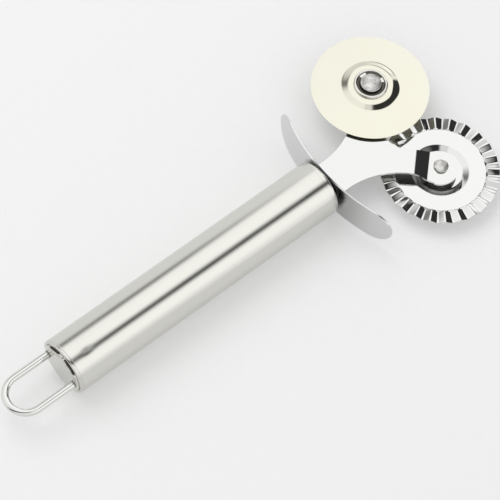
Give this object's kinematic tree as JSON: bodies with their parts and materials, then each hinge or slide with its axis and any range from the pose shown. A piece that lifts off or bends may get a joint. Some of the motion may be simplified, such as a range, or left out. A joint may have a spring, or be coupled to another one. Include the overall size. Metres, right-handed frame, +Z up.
{
  "type": "pastry cutter",
  "caption": "Pastry cutter with a plain and a fluted wheel on a forked plate, a round tube handle, a curved finger guard and a wire hanging loop.",
  "frame": {"origin": "centre of the whole tool's footprint, on the surface it lies on, directly below the handle's axis", "axes": "+X along the handle from the hanging loop towards the wheels, +Y towards the plain wheel, +Z up, square to the flat fork plate"},
  "size_m": [0.209, 0.0862, 0.022],
  "materials": {
    "handle_steel": "polished along its length, with fine long scratches",
    "wire_steel": "bright drawn wire",
    "guard_steel": "satin sheet",
    "plate_steel": "mirror-polished sheet with cut edges",
    "plain_wheel_metal": "polished pressed sheet with a warm cream tint",
    "fluted_wheel_steel": "mirror-polished pressed sheet",
    "washer_steel": "turned and polished",
    "rivet_steel": "headed steel with light tool marks",
    "inner_steel": "plain unpolished steel, out of sight"
  },
  "bodies": {
    "handle_body": {"handle_tube": "handle_steel", "front_cap": "handle_steel", "end_cap": "handle_steel", "hanging_loop": "wire_steel", "loop_collar_left": "inner_steel", "loop_collar_right": "inner_steel", "finger_guard": "guard_steel", "fork_plate": "plate_steel", "tang_plug": "inner_steel", "tang_pin": "inner_steel", "plain_rivet": "rivet_steel", "plain_bush": "inner_steel", "plain_cup_washer": "washer_steel", "plain_spacer": "inner_steel", "fluted_rivet": "rivet_steel", "fluted_bush": "inner_steel", "fluted_cup_washer": "washer_steel", "fluted_spacer": "inner_steel"},
    "plain_wheel_body": {"plain_wheel": "plain_wheel_metal"},
    "fluted_wheel_body": {"fluted_wheel": "fluted_wheel_steel"}
  },
  "joints": [
    {"name": "plain_wheel_spin", "type": "hinge", "parent": "handle_body", "child": "plain_wheel_body", "pos_m": [0.08195, 0.0205, 0.0143], "axis": [0, 0, 1], "continuous": true},
    {"name": "fluted_wheel_spin", "type": "hinge", "parent": "handle_body", "child": "fluted_wheel_body", "pos_m": [0.08195, -0.0205, 0.0052], "axis": [0, 0, 1], "continuous": true}
  ]
}
